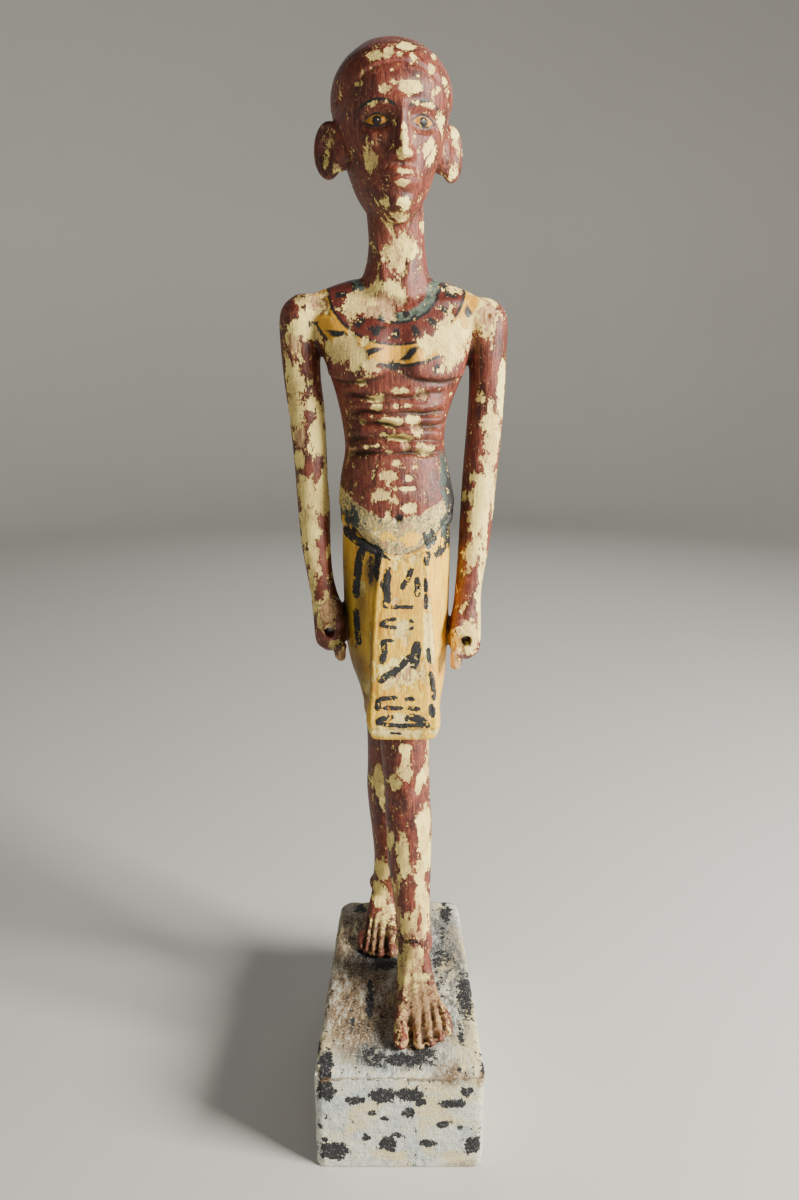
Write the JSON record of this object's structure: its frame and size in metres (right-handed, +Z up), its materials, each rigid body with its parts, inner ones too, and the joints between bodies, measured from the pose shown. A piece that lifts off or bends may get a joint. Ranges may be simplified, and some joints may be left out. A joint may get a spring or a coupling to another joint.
{
  "type": "priest statue",
  "caption": "Carved and painted wooden figure of a striding priest with a collar, short skirt, stiff apron panel and drilled fists, standing on its own block plinth.",
  "frame": {"origin": "middle of the plinth's flat underside", "axes": "+Z up, -Y towards the front that the figure faces, +X towards the figure's left"},
  "size_m": [0.1467, 0.193, 0.7027],
  "materials": {
    "painted_wood": "satin",
    "plinth_paint": "matte"
  },
  "bodies": {
    "root": {"figure": "painted_wood", "plinth": "plinth_paint"}
  },
  "joints": []
}
